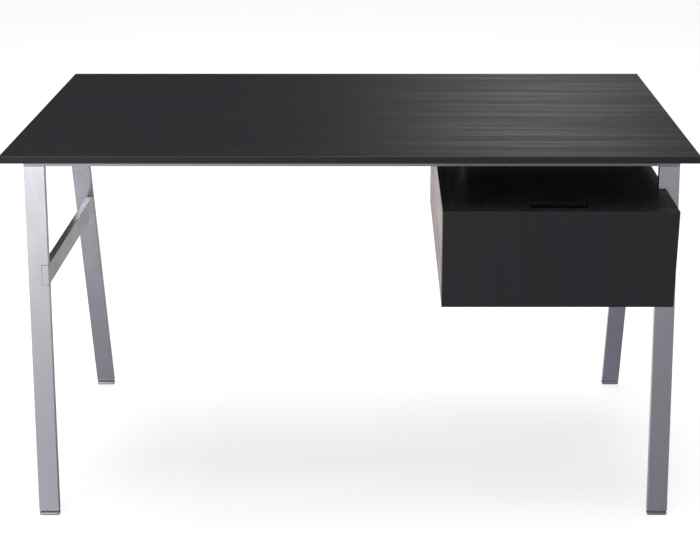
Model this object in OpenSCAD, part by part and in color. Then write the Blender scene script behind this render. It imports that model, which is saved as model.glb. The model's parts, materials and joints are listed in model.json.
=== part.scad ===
// Writing desk: a thin black timber desktop on a flat-bar steel A-frame, with one drawer
// cabinet let into the right-hand legs and crossbar. Millimetres, +Z up, front towards -Y.
// Origin: on the floor, under the middle of the desktop.

/* [Desktop] */
// Length of the desktop, side to side
desktop_w = 1220; // [1000:10:1500]
// Depth of the desktop, front to back
desktop_d = 610; // [580:10:750]
// Thickness of the desktop
desktop_t = 13; // [13:1:25]
// Height of the desktop's top face above the floor
desk_h = 740; // [620:5:900]

/* [Steel frame] */
// Width of the flat bar used for legs and crossbars
bar_w = 38; // [32:1:50]
// Thickness of every flat bar in the frame
bar_t = 12.7; // [10.5:0.1:16]
// Height of the rails under the desktop
rail_h = 50; // [40:1:60]
// Lean of each leg from the vertical, in degrees
leg_lean = 8.9; // [6:0.1:10.8]
// Set-back of the legs' outer faces from the desktop's ends
leg_end_inset = 2; // [0:1:60]
// Set-back of the front feet from the desktop's front edge
front_foot_inset = 37; // [30:1:60]
// Set-back of the rear feet from the desktop's rear edge
rear_foot_inset = 5; // [0:1:30]
// Dark joint line left above each crossbar in its notch
seam = 0.3; // [0.2:0.1:0.6]

/* [Feet] */
// Thickness of the plate that closes each leg's lower end
end_plate_t = 4.5; // [3:0.5:8]
// Open gap between end plate and foot, taken up in levelling
foot_gap = 4; // [3.5:0.5:8]
// Thickness of the steel pad
pad_t = 4; // [3:0.5:8]
// Thickness of the nylon glide under the pad
glide_t = 1.5; // [1:0.5:4]
// Diameter of the levelling stud
stud_d = 6; // [5:0.5:6.5]

/* [Cabinet] */
// Width of the cabinet and of its drawer front
cabinet_w = 419.7; // [340:0.1:520]
// Depth of the cabinet from the drawer front's face to its back
cabinet_d = 586; // [480:1:590]
// Height of the cabinet
cabinet_h = 183; // [150:1:230]
// Open space between the desktop's underside and the cabinet's top
cabinet_gap = 91; // [75:1:130]
// Set-back of the drawer front from the desktop's front edge
cabinet_front_inset = 7; // [0:1:20]
// Thickness of the cabinet's boards
board_t = 18; // [16:0.5:19]
// Thickness of the cabinet's back
back_t = 12; // [6:1:18]
// Width of the finger cut-out in the cabinet's top
finger_w = 104; // [80:1:160]
// Depth of the finger cut-out behind the carcass's front edge
finger_d = 26; // [20:1:40]
// Radius of the finger cut-out's rear corners
finger_r = 8; // [4:1:12]

/* [Drawer] */
// Thickness of the drawer front
front_t = 20; // [16:1:22]
// Gap between the drawer front and the carcass
front_gap = 1.5; // [1:0.1:3]
// Thickness of the drawer's sides, inner front and back
drawer_board_t = 12; // [10:1:15]
// Thickness of the drawer's bottom
drawer_bottom_t = 6; // [4:1:8]
// Depth of the groove that holds the drawer's bottom
bottom_groove = 5; // [3:0.5:6]
// Room left under the drawer box
under_drawer = 9; // [6:1:14]
// Finger room left above the drawer box
finger_room = 28; // [22:1:40]

/* [Slides] */
// Space each slide fills between carcass and drawer
slide_w = 12.7; // [12.7:0.1:14]
// Height of a slide
slide_h = 45; // [45:1:46]
// Sheet thickness of the slide members
slide_t = 1.2; // [1:0.1:1.5]
// Height of the slides' centre line above the drawer box's lower edge
slide_rise = 45; // [40:1:50]

/* [Hidden] */
$fn = 48;

steel = "silver";
stain = [0.13, 0.12, 0.14];
birch = [0.80, 0.66, 0.47];
zinc = [0.72, 0.73, 0.75];
eps = 0.01;            // how far a cut runs past a face
cut_past = 1;          // how far a wide cut runs past a board
thread_gap = 0.15;     // diameter by which a threaded hole passes its stud
shank_gap = 0.1;       // diameter by which a pilot hole passes its shank

// Heights
desktop_z0 = desk_h - desktop_t;
rail_z0 = desktop_z0 - rail_h;
cab_z1 = desktop_z0 - cabinet_gap;
cab_z0 = cab_z1 - cabinet_h;
crossbar_z0 = cab_z0;
crossbar_z1 = crossbar_z0 + bar_w;
foot_h = glide_t + pad_t + foot_gap + end_plate_t;
pad_z1 = glide_t + pad_t;
plate_z0 = pad_z1 + foot_gap;

// Legs: the faces that lean, as functions of height
lean_tan = tan(leg_lean);
leg_y = bar_t / cos(leg_lean);
front_foot_y = -desktop_d / 2 + front_foot_inset;
rear_foot_y = desktop_d / 2 - rear_foot_inset;
leg_x1 = desktop_w / 2 - leg_end_inset;
leg_x0 = leg_x1 - bar_w;
function front_face(z) = front_foot_y + z * lean_tan;
function rear_face(z) = rear_foot_y - z * lean_tan;

// Rails
front_rail_y0 = front_face(rail_z0);
front_rail_y1 = front_rail_y0 + bar_t;
rear_rail_y1 = rear_face(rail_z0);
rear_rail_y0 = rear_rail_y1 - bar_t;

// Feet
stud_reach = 12;       // stud length above the end plate's lower face
stud_play = 3.5;       // free hole above the stud
stud_in_pad = 1;       // depth to which the stud is set into its pad
stud_ref_z = plate_z0 + 1.5;  // height at which each foot is centred on its leg
front_stud_y = front_face(stud_ref_z) + leg_y / 2;
rear_stud_y = rear_face(stud_ref_z) - leg_y / 2;
glide_inset = 0.6;

// Desktop fixing: tab, screw and insert
tab_w = 40;
tab_reach = 26;
tab_t = 4;
tab_hole = 7;
tab_end_margin = 210;  // from the desktop's end to the outer tabs' holes
tab_spread = desktop_w / 2 - tab_end_margin;
tab_centre = 13;       // from the rail's face to the tab's hole
insert_d = 8;
insert_h = 9;
bolt_d = 6;
bolt_head_d = 10.5;
bolt_head_h = 3.3;
bolt_socket = 4;
bolt_gap = 1;          // between the bolt's end and the bottom of its insert
side_tab_y = (front_rail_y1 + rear_rail_y0) / 2;
front_tab_y = front_rail_y1 + tab_centre;
rear_tab_y = rear_rail_y0 - tab_centre;
side_tab_x = leg_x1 - bar_t - tab_centre;
TAB_POINTS = [
    for (x = [-tab_spread, 0, tab_spread], y = [front_tab_y, rear_tab_y]) [x, y],
    for (s = [-1, 1]) [s * side_tab_x, side_tab_y]
];

// Cabinet outline: its right face is flush with the crossbar's outer face
cab_x1 = leg_x0 + bar_t;
cab_x0 = cab_x1 - cabinet_w;
front_y0 = -desktop_d / 2 + cabinet_front_inset;
front_y1 = front_y0 + front_t;
carcass_y0 = front_y1 + front_gap;
carcass_y1 = front_y0 + cabinet_d;
inner_x0 = cab_x0 + board_t;
inner_x1 = cab_x1 - board_t;
inner_z0 = cab_z0 + board_t;
inner_z1 = cab_z1 - board_t;
finger_x = (cab_x0 + cab_x1) / 2;
groove_gap = 0.5;      // clearance round each leg in the right panel
top_groove_y0 = front_face(inner_z1) + leg_y;
top_groove_y1 = rear_face(inner_z1) - leg_y;
dowel_d = 8;
dowel_in_side = 10;
dowel_in_panel = 20;
dowel_margin = 35;
DOWEL_Y = [
    carcass_y0 + dowel_margin,
    top_groove_y0 + (top_groove_y1 - top_groove_y0) / 3,
    top_groove_y0 + (top_groove_y1 - top_groove_y0) * 2 / 3,
    carcass_y1 - dowel_margin
];
bumper_d = 8;
bumper_gap = 0.4;      // between a bumper and the closed drawer front
bumper_t = front_gap - bumper_gap;
bumper_inset = 12;

// Hangers and the bolts that hold the cabinet
hanger_plate_t = 4;
hanger_plate_w = 64;
hanger_plate_gap = 2;  // from the left panel's inner face to the plate's edge
hanger_x = inner_x0 + hanger_plate_gap + hanger_plate_w / 2;
hanger_front_margin = 150;
hanger_rear_margin = 45;
HANGER_Y = [front_rail_y1 + hanger_front_margin, rear_rail_y0 - hanger_rear_margin];
m5_d = 5;
m5_hole = 5.5;
m5_head_d = 9.5;
m5_head_h = 2.8;
m5_socket = 3;
hanger_bolt_dx = 22;
crossbar_bolt_wall = 2;  // steel left beyond a bolt in the crossbar
crossbar_bolt_z = cab_z0 + (board_t + bar_w) / 2;
crossbar_bolt_l = 14;
cross_y0 = front_face(crossbar_bolt_z) + leg_y;
cross_y1 = rear_face(crossbar_bolt_z) - leg_y;
CROSS_BOLT_Y = [for (i = [1, 3, 5]) cross_y0 + (cross_y1 - cross_y0) * i / 6];

// Slides: the longest standard length that fits, and the drawer box that they carry
slide_step = 50;
slide_setback = 2;
slide_end_room = 20;
slide_len = floor((carcass_y1 - back_t - carcass_y0 - slide_end_room) / slide_step) * slide_step;
slide_y0 = carcass_y0 + slide_setback;
ball_gap = 2.6;        // between the lips of two members, for the balls
web_gap = 2.2;         // between the webs of the cabinet and middle members
lip_gap = 0.3;         // between the middle member's lips and the drawer member's web
cabinet_lip = 9.6;     // reach of the cabinet member's lips from the carcass
drawer_lip = 5.4;      // where the drawer member's lips start
middle_web = slide_t + web_gap;
middle_lip = slide_w - slide_t - lip_gap;
middle_half = slide_h / 2 - slide_t - ball_gap;
drawer_half = middle_half - slide_t - ball_gap;
middle_short = 2;      // by which the middle member is shorter than the slide
drawer_short = 4;      // by which the drawer member is shorter than the slide
slide_screw_d = 3.5;
slide_screw_bite = 9;  // screw length in the board
slide_head_d = 7;
slide_head_h = 1.7;
slide_socket = 2.5;
cabinet_pilot = slide_screw_bite + 2;
drawer_pilot = slide_screw_bite + 0.5;
box_x0 = inner_x0 + slide_w;
box_x1 = inner_x1 - slide_w;
box_y0 = front_y1;
box_y1 = box_y0 + slide_len;
box_z0 = inner_z0 + under_drawer;
box_z1 = inner_z1 - finger_room;
slide_z = box_z0 + slide_rise;
side_groove_y0 = front_face(slide_z) + leg_y;
side_groove_y1 = rear_face(slide_z) - leg_y;
CABINET_SCREW_Y = [
    (carcass_y0 + front_face(slide_z)) / 2,
    side_groove_y0 + (side_groove_y1 - side_groove_y0) * 0.3,
    side_groove_y0 + (side_groove_y1 - side_groove_y0) * 0.7
];
drawer_screw_margin = 45;
DRAWER_SCREW_Y = [
    for (i = [0:2]) slide_y0 + drawer_screw_margin + i * (slide_len - 2 * drawer_screw_margin) / 2
];
bottom_lift = 8;       // from the drawer sides' lower edge to the drawer's bottom
bottom_play = 0.2;
bottom_z0 = box_z0 + bottom_lift;
front_screw_d = 4;
front_screw_l = 24;
front_head_d = 8;
front_head_h = 2.4;
front_socket = 2.5;
front_screw_side = 60;
front_screw_dx = (box_x1 - box_x0) / 2 - front_screw_side;
front_screw_margin = 24;
FRONT_SCREW_Z = [bottom_z0 + drawer_bottom_t + front_screw_margin, box_z1 - front_screw_margin];
drawer_dowel_d = 6;
drawer_dowel_in_side = 8;
drawer_dowel_in_end = 16;
drawer_dowel_margin = 22;
DRAWER_DOWEL_Z = [bottom_z0 + drawer_bottom_t + drawer_dowel_margin / 2, box_z1 - drawer_dowel_margin];

// ---- shared shapes ----

// A box from one corner to the opposite one
module block(a, b) translate(a) cube(b - a);

// A side-view outline in (y, z), given thickness along X from x0 to x1
module side_profile(x0, x1, points)
    translate([x0, 0, 0]) rotate([90, 0, 90]) linear_extrude(x1 - x0) polygon(points);

// Children repeated on both sides, the left one mirrored
module both_sides() for (s = [0, 1]) mirror([s, 0, 0]) children();

// The stretch of a front leg's bar between two heights, wider by gap front and back
module front_bar(x0, x1, z0, z1, gap = 0)
    side_profile(x0, x1, [
        [front_face(z0) - gap, z0], [front_face(z0) + leg_y + gap, z0],
        [front_face(z1) + leg_y + gap, z1], [front_face(z1) - gap, z1]
    ]);

// The same for a rear leg
module rear_bar(x0, x1, z0, z1, gap = 0)
    side_profile(x0, x1, [
        [rear_face(z0) + gap, z0], [rear_face(z0) - leg_y - gap, z0],
        [rear_face(z1) - leg_y - gap, z1], [rear_face(z1) + gap, z1]
    ]);

// Screw along +Z with its head below z = 0 and a hex socket in the head
module socket_screw(d, length, head_d, head_h, socket) {
    difference() {
        union() {
            cylinder(d = d, h = length);
            translate([0, 0, -head_h]) cylinder(d = head_d, h = head_h);
        }
        translate([0, 0, -head_h - eps]) cylinder(d = socket, h = head_h * 0.6, $fn = 6);
    }
}

// ---- desktop ----

module desktop() {
    color(stain) difference() {
        block([-desktop_w / 2, -desktop_d / 2, desktop_z0], [desktop_w / 2, desktop_d / 2, desk_h]);
        for (p = TAB_POINTS)
            translate([p[0], p[1], desktop_z0 - eps]) cylinder(d = insert_d, h = insert_h + eps);
    }
}

module desktop_inserts() {
    color("goldenrod") for (p = TAB_POINTS)
        translate([p[0], p[1], desktop_z0]) difference() {
            cylinder(d = insert_d, h = insert_h);
            translate([0, 0, -eps]) cylinder(d = bolt_d + shank_gap, h = insert_h + 2 * eps);
        }
}

module desktop_screws() {
    color(zinc) for (p = TAB_POINTS)
        translate([p[0], p[1], desktop_z0 - tab_t])
            socket_screw(bolt_d, tab_t + insert_h - bolt_gap, bolt_head_d, bolt_head_h, bolt_socket);
}

module fixing_tabs() {
    color(steel) difference() {
        union() {
            for (x = [-tab_spread, 0, tab_spread]) {
                block([x - tab_w / 2, front_rail_y1, desktop_z0 - tab_t],
                      [x + tab_w / 2, front_rail_y1 + tab_reach, desktop_z0]);
                block([x - tab_w / 2, rear_rail_y0 - tab_reach, desktop_z0 - tab_t],
                      [x + tab_w / 2, rear_rail_y0, desktop_z0]);
            }
            both_sides()
                block([leg_x1 - bar_t - tab_reach, side_tab_y - tab_w / 2, desktop_z0 - tab_t],
                      [leg_x1 - bar_t, side_tab_y + tab_w / 2, desktop_z0]);
        }
        for (p = TAB_POINTS)
            translate([p[0], p[1], desktop_z0 - tab_t - eps])
                cylinder(d = tab_hole, h = tab_t + 2 * eps);
    }
}

// ---- steel frame ----

module front_rail()
    color(steel) block([-leg_x1, front_rail_y0, rail_z0], [leg_x1, front_rail_y1, desktop_z0]);

module rear_rail()
    color(steel) block([-leg_x1, rear_rail_y0, rail_z0], [leg_x1, rear_rail_y1, desktop_z0]);

module side_rail()
    block([leg_x1 - bar_t, front_rail_y1, rail_z0], [leg_x1, rear_rail_y0, desktop_z0]);

module left_side_rail() color(steel) mirror([1, 0, 0]) side_rail();
module right_side_rail() color(steel) side_rail();

module hanger_rail()
    color(steel) block([hanger_x - bar_t / 2, front_rail_y1, rail_z0],
                       [hanger_x + bar_t / 2, rear_rail_y0, desktop_z0]);

// The notch that a leg's inner edge has for its crossbar
module crossbar_notch()
    block([leg_x0 - eps, -desktop_d, crossbar_z0], [leg_x0 + bar_t, desktop_d, crossbar_z1 + seam]);

// The threaded hole for a levelling stud
module stud_hole(y)
    translate([(leg_x0 + leg_x1) / 2, y, plate_z0 - eps])
        cylinder(d = stud_d + thread_gap, h = stud_reach + stud_play + eps);

module front_leg() difference() {
    front_bar(leg_x0, leg_x1, foot_h, rail_z0);
    crossbar_notch();
    stud_hole(front_stud_y);
}

module rear_leg() difference() {
    rear_bar(leg_x0, leg_x1, foot_h, rail_z0);
    crossbar_notch();
    stud_hole(rear_stud_y);
}

module left_front_leg() color(steel) mirror([1, 0, 0]) front_leg();
module left_rear_leg() color(steel) mirror([1, 0, 0]) rear_leg();
module right_front_leg() color(steel) front_leg();
module right_rear_leg() color(steel) rear_leg();

// Bar on edge from the front leg's face to the rear leg's, its ends cut to their lean
module crossbar()
    side_profile(leg_x0, leg_x0 + bar_t, [
        [front_face(crossbar_z0), crossbar_z0], [rear_face(crossbar_z0), crossbar_z0],
        [rear_face(crossbar_z1), crossbar_z1], [front_face(crossbar_z1), crossbar_z1]
    ]);

module left_crossbar() color(steel) mirror([1, 0, 0]) crossbar();

module right_crossbar() color(steel) difference() {
    crossbar();
    for (y = CROSS_BOLT_Y)
        translate([leg_x0 - eps, y, crossbar_bolt_z]) rotate([0, 90, 0])
            cylinder(d = m5_d + shank_gap, h = bar_t - crossbar_bolt_wall);
}

module leg_end_plates() {
    color(steel) both_sides() {
        difference() {
            front_bar(leg_x0, leg_x1, plate_z0, foot_h);
            stud_hole(front_stud_y);
        }
        difference() {
            rear_bar(leg_x0, leg_x1, plate_z0, foot_h);
            stud_hole(rear_stud_y);
        }
    }
}

// ---- levelling feet: a pad with a fixed stud, and a glide under it ----

module foot(y) {
    block([leg_x0, y - leg_y / 2, glide_t], [leg_x1, y + leg_y / 2, pad_z1]);
    translate([(leg_x0 + leg_x1) / 2, y, pad_z1 - stud_in_pad])
        cylinder(d = stud_d, h = plate_z0 + stud_reach - pad_z1 + stud_in_pad);
}

module glide(y)
    block([leg_x0 + glide_inset, y - leg_y / 2 + glide_inset, 0],
          [leg_x1 - glide_inset, y + leg_y / 2 - glide_inset, glide_t]);

module left_front_foot() color(steel) mirror([1, 0, 0]) foot(front_stud_y);
module left_rear_foot() color(steel) mirror([1, 0, 0]) foot(rear_stud_y);
module right_front_foot() color(steel) foot(front_stud_y);
module right_rear_foot() color(steel) foot(rear_stud_y);
module left_front_glide() color("dimgray") mirror([1, 0, 0]) glide(front_stud_y);
module left_rear_glide() color("dimgray") mirror([1, 0, 0]) glide(rear_stud_y);
module right_front_glide() color("dimgray") glide(front_stud_y);
module right_rear_glide() color("dimgray") glide(rear_stud_y);

// ---- what carries the cabinet ----

module hanger_bolt_places()
    for (y = HANGER_Y, s = [-1, 1]) translate([hanger_x + s * hanger_bolt_dx, y, 0]) children();

module cabinet_hangers() {
    color(steel) difference() {
        for (y = HANGER_Y) {
            block([hanger_x - hanger_plate_w / 2, y - bar_w / 2, cab_z1],
                  [hanger_x + hanger_plate_w / 2, y + bar_w / 2, cab_z1 + hanger_plate_t]);
            block([hanger_x - bar_t / 2, y - bar_w / 2, cab_z1],
                  [hanger_x + bar_t / 2, y + bar_w / 2, rail_z0]);
        }
        hanger_bolt_places() translate([0, 0, cab_z1 - eps])
            cylinder(d = m5_d + shank_gap, h = hanger_plate_t + 2 * eps);
    }
}

module hanger_screws() {
    color(zinc) hanger_bolt_places() translate([0, 0, inner_z1])
        socket_screw(m5_d, board_t + hanger_plate_t, m5_head_d, m5_head_h, m5_socket);
}

module crossbar_screws() {
    color(zinc) for (y = CROSS_BOLT_Y)
        translate([inner_x1, y, crossbar_bolt_z]) rotate([0, 90, 0])
            socket_screw(m5_d, crossbar_bolt_l, m5_head_d, m5_head_h, m5_socket);
}

// ---- cabinet ----

// One dowel lying along X, its joint face at x = 0 and the side panel towards -X
module dowel_x(d, in_side, in_end)
    translate([-in_side, 0, 0]) rotate([0, 90, 0]) cylinder(d = d, h = in_side + in_end);

// Dowels of the top's two ends and of the bottom's left end
module all_cabinet_dowels() {
    for (y = DOWEL_Y) {
        for (z = [inner_z1 + board_t / 2, inner_z0 - board_t / 2])
            translate([inner_x0, y, z]) dowel_x(dowel_d, dowel_in_side, dowel_in_panel);
        translate([inner_x1, y, inner_z1 + board_t / 2]) mirror([1, 0, 0])
            dowel_x(dowel_d, dowel_in_side, dowel_in_panel);
    }
}

// Pilot holes along X for slide screws, that deep into the boards on both sides of x
module slide_pilots(x, ys, depth)
    for (y = ys)
        translate([x - depth, y, slide_z]) rotate([0, 90, 0])
            cylinder(d = slide_screw_d + shank_gap, h = 2 * depth);

module cabinet_left_panel() {
    color(stain) difference() {
        block([cab_x0, carcass_y0, cab_z0], [inner_x0, carcass_y1, cab_z1]);
        all_cabinet_dowels();
        slide_pilots(inner_x0, CABINET_SCREW_Y, cabinet_pilot);
    }
}

// The right panel takes both leaning legs in grooves and the crossbar in a rabbet
module cabinet_right_panel() {
    color(stain) difference() {
        block([inner_x1, carcass_y0, cab_z0], [cab_x1, carcass_y1, cab_z1]);
        front_bar(leg_x0 - groove_gap, leg_x1, cab_z0 - cut_past, cab_z1 + cut_past, groove_gap);
        rear_bar(leg_x0 - groove_gap, leg_x1, cab_z0 - cut_past, cab_z1 + cut_past, groove_gap);
        side_profile(leg_x0, leg_x1, [
            [front_face(cab_z0 - cut_past), cab_z0 - cut_past],
            [rear_face(cab_z0 - cut_past), cab_z0 - cut_past],
            [rear_face(crossbar_z1 + seam), crossbar_z1 + seam],
            [front_face(crossbar_z1 + seam), crossbar_z1 + seam]
        ]);
        all_cabinet_dowels();
        slide_pilots(inner_x1, CABINET_SCREW_Y, cabinet_pilot);
        for (y = CROSS_BOLT_Y)
            translate([inner_x1 - eps, y, crossbar_bolt_z]) rotate([0, 90, 0])
                cylinder(d = m5_hole, h = board_t);
    }
}

// Outline of the finger cut-out: square at the open front, rounded at the rear
module finger_outline() {
    translate([-finger_w / 2, -cut_past]) square([finger_w, finger_d + cut_past - finger_r]);
    translate([-finger_w / 2 + finger_r, -cut_past])
        square([finger_w - 2 * finger_r, finger_d + cut_past]);
    for (s = [-1, 1])
        translate([s * (finger_w / 2 - finger_r), finger_d - finger_r]) circle(r = finger_r);
}

module cabinet_top_panel() {
    color(stain) difference() {
        block([inner_x0, carcass_y0, inner_z1], [inner_x1, carcass_y1, cab_z1]);
        translate([finger_x, carcass_y0, inner_z1 - cut_past])
            linear_extrude(board_t + 2 * cut_past) finger_outline();
        all_cabinet_dowels();
        hanger_bolt_places() translate([0, 0, inner_z1 - eps])
            cylinder(d = m5_hole, h = board_t + 2 * eps);
    }
}

module cabinet_bottom_panel() {
    color(stain) difference() {
        block([inner_x0, carcass_y0, cab_z0], [inner_x1, carcass_y1, inner_z0]);
        all_cabinet_dowels();
    }
}

module cabinet_back_panel()
    color(stain) block([inner_x0, carcass_y1 - back_t, inner_z0], [inner_x1, carcass_y1, inner_z1]);

module cabinet_dowels() color(birch) all_cabinet_dowels();

// Soft stops on the carcass's front corners
module front_bumpers() {
    color("whitesmoke")
        for (x = [cab_x0 + board_t / 2, cab_x1 - board_t / 2],
             z = [cab_z0 + bumper_inset, cab_z1 - bumper_inset])
            translate([x, carcass_y0, z]) rotate([90, 0, 0]) cylinder(d = bumper_d, h = bumper_t);
}

// ---- slides, drawn for the left side with the carcass at x = 0 ----

// A channel with its web from web_x and its lips from lip_x0 to lip_x1, both half high
module channel(web_x, lip_x0, lip_x1, half, length) {
    translate([web_x, 0, -half]) cube([slide_t, length, 2 * half]);
    for (z = [-half, half - slide_t])
        translate([lip_x0, 0, z]) cube([lip_x1 - lip_x0, length, slide_t]);
}

module at_left_slide() translate([inner_x0, slide_y0, slide_z]) children();
module at_right_slide() translate([inner_x1, slide_y0, slide_z]) mirror([1, 0, 0]) children();

module slide_holes(ys)
    for (y = ys)
        translate([-eps, y - slide_y0, 0]) rotate([0, 90, 0])
            cylinder(d = slide_screw_d + shank_gap, h = slide_w + 2 * eps);

module cabinet_member() difference() {
    channel(0, 0, cabinet_lip, slide_h / 2, slide_len);
    slide_holes(CABINET_SCREW_Y);
}

module middle_member()
    channel(middle_web, middle_web, middle_lip, middle_half, slide_len - middle_short);

module drawer_member() difference() {
    channel(slide_w - slide_t, drawer_lip, slide_w, drawer_half, slide_len - drawer_short);
    slide_holes(DRAWER_SCREW_Y);
}

module left_slide_cabinet_member() color(zinc) at_left_slide() cabinet_member();
module right_slide_cabinet_member() color(zinc) at_right_slide() cabinet_member();
module left_slide_middle_member() color(zinc) at_left_slide() middle_member();
module right_slide_middle_member() color(zinc) at_right_slide() middle_member();
module left_slide_drawer_member() color(zinc) at_left_slide() drawer_member();
module right_slide_drawer_member() color(zinc) at_right_slide() drawer_member();

// Low-headed screws of one slide member; turn is -90 towards the carcass, 90 to the drawer
module slide_screws(ys, face_x, turn)
    for (y = ys)
        translate([face_x, y - slide_y0, 0]) rotate([0, turn, 0])
            socket_screw(slide_screw_d, slide_t + slide_screw_bite, slide_head_d, slide_head_h,
                         slide_socket);

module slide_cabinet_screws() {
    color(zinc) {
        at_left_slide() slide_screws(CABINET_SCREW_Y, slide_t, -90);
        at_right_slide() slide_screws(CABINET_SCREW_Y, slide_t, -90);
    }
}

module slide_drawer_screws() {
    color(zinc) {
        at_left_slide() slide_screws(DRAWER_SCREW_Y, slide_w - slide_t, 90);
        at_right_slide() slide_screws(DRAWER_SCREW_Y, slide_w - slide_t, 90);
    }
}

// ---- drawer ----

module front_screw_places()
    for (s = [-1, 1], z = FRONT_SCREW_Z)
        translate([(box_x0 + box_x1) / 2 + s * front_screw_dx, box_y0 + drawer_board_t, z])
            rotate([90, 0, 0]) children();

module all_drawer_dowels() {
    for (y = [box_y0 + drawer_board_t / 2, box_y1 - drawer_board_t / 2], z = DRAWER_DOWEL_Z) {
        translate([box_x0 + drawer_board_t, y, z])
            dowel_x(drawer_dowel_d, drawer_dowel_in_side, drawer_dowel_in_end);
        translate([box_x1 - drawer_board_t, y, z]) mirror([1, 0, 0])
            dowel_x(drawer_dowel_d, drawer_dowel_in_side, drawer_dowel_in_end);
    }
}

// The drawer's bottom, grown by play all round: also the shape of its groove
module bottom_board(play) {
    edge = drawer_board_t - bottom_groove - play;
    block([box_x0 + edge, box_y0 + edge, bottom_z0],
          [box_x1 - edge, box_y1 - edge, bottom_z0 + drawer_bottom_t]);
}

module drawer_front() {
    color(stain) difference() {
        block([cab_x0, front_y0, cab_z0], [cab_x1, front_y1, cab_z1]);
        front_screw_places() cylinder(d = front_screw_d + shank_gap, h = front_screw_l + cut_past);
    }
}

module drawer_front_screws() {
    color(zinc) front_screw_places()
        socket_screw(front_screw_d, front_screw_l, front_head_d, front_head_h, front_socket);
}

// The board across one end of the drawer box, its front face at y0
module drawer_end(y0) difference() {
    block([box_x0 + drawer_board_t, y0, box_z0],
          [box_x1 - drawer_board_t, y0 + drawer_board_t, box_z1]);
    bottom_board(bottom_play);
    all_drawer_dowels();
}

module drawer_inner_front() {
    color(birch) difference() {
        drawer_end(box_y0);
        front_screw_places() translate([0, 0, -cut_past])
            cylinder(d = front_screw_d + shank_gap, h = front_screw_l);
    }
}

module drawer_back() color(birch) drawer_end(box_y1 - drawer_board_t);

// One drawer side: x0 is its left face and slide_x the face that carries the slide
module drawer_side(x0, slide_x) difference() {
    block([x0, box_y0, box_z0], [x0 + drawer_board_t, box_y1, box_z1]);
    bottom_board(bottom_play);
    all_drawer_dowels();
    slide_pilots(slide_x, DRAWER_SCREW_Y, drawer_pilot);
}

module drawer_left_side() color(birch) drawer_side(box_x0, box_x0);
module drawer_right_side() color(birch) drawer_side(box_x1 - drawer_board_t, box_x1);
module drawer_bottom() color(birch) bottom_board(0);
module drawer_dowels() color(birch) all_drawer_dowels();

desktop();
desktop_inserts();
desktop_screws();
fixing_tabs();
front_rail();
rear_rail();
left_side_rail();
right_side_rail();
hanger_rail();
left_front_leg();
left_rear_leg();
right_front_leg();
right_rear_leg();
left_crossbar();
right_crossbar();
leg_end_plates();
left_front_foot();
left_rear_foot();
right_front_foot();
right_rear_foot();
left_front_glide();
left_rear_glide();
right_front_glide();
right_rear_glide();
cabinet_hangers();
hanger_screws();
crossbar_screws();
cabinet_left_panel();
cabinet_right_panel();
cabinet_top_panel();
cabinet_bottom_panel();
cabinet_back_panel();
cabinet_dowels();
front_bumpers();
left_slide_cabinet_member();
right_slide_cabinet_member();
slide_cabinet_screws();
left_slide_middle_member();
right_slide_middle_member();
left_slide_drawer_member();
right_slide_drawer_member();
slide_drawer_screws();
drawer_front();
drawer_front_screws();
drawer_inner_front();
drawer_back();
drawer_left_side();
drawer_right_side();
drawer_bottom();
drawer_dowels();
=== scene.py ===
"""A writing desk: finishes, fine parts, studio light and camera, built round its CAD frame.

The frame gives every position. Lengths are metres: +X to the sitter's right, -Y to the sitter,
+Z up from the floor.
"""

from __future__ import annotations

import json
import logging
import math
from dataclasses import dataclass, field
from enum import Enum
from typing import Iterable, Sequence

import bmesh
import bpy
from mathutils import Matrix, Vector, noise

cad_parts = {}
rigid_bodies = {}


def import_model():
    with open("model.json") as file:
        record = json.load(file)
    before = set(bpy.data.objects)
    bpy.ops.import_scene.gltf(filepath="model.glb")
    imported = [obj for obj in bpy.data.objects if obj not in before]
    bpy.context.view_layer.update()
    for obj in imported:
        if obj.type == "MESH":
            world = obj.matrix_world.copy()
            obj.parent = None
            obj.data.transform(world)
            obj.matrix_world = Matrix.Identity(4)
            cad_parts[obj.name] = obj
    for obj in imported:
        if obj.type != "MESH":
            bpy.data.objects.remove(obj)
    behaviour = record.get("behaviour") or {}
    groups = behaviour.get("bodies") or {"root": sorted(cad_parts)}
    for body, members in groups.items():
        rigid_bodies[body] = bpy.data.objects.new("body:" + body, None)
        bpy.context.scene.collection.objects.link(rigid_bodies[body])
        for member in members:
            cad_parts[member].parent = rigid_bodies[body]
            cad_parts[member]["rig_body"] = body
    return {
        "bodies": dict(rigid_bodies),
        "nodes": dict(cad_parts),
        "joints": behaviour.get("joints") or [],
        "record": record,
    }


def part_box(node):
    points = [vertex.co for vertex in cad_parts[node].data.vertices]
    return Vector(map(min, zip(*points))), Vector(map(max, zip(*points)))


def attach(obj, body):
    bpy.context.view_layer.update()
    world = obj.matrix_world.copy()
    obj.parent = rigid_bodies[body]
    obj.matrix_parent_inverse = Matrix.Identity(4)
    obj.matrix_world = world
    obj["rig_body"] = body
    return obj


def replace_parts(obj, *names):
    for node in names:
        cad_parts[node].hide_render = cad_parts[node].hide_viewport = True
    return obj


LOG = logging.getLogger("writing_desk")
MM = 0.001
MERGE_DISTANCE = 0.002 * MM
FLAT_COSINE = 0.995
EDGE_COSINE = 0.86
WHITE = (1.0, 1.0, 1.0)

Colour = tuple[float, float, float]
Span = tuple[float, float]
Socket = bpy.types.NodeSocket
Value = float | Socket


class Axis(Enum):
    """An axis of the row frame."""

    X = 0
    Y = 1
    Z = 2


class Side(Enum):
    """The sitter's left or right, with the sign of X there."""

    LEFT = -1
    RIGHT = 1

    @property
    def word(self) -> str:
        """The side's word in piece names."""
        return self.name.lower()


class End(Enum):
    """The front or rear of the desk, with the sign of Y there."""

    FRONT = -1
    REAR = 1

    @property
    def word(self) -> str:
        """The end's word in piece names."""
        return self.name.lower()


# ---- materials ----


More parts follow.
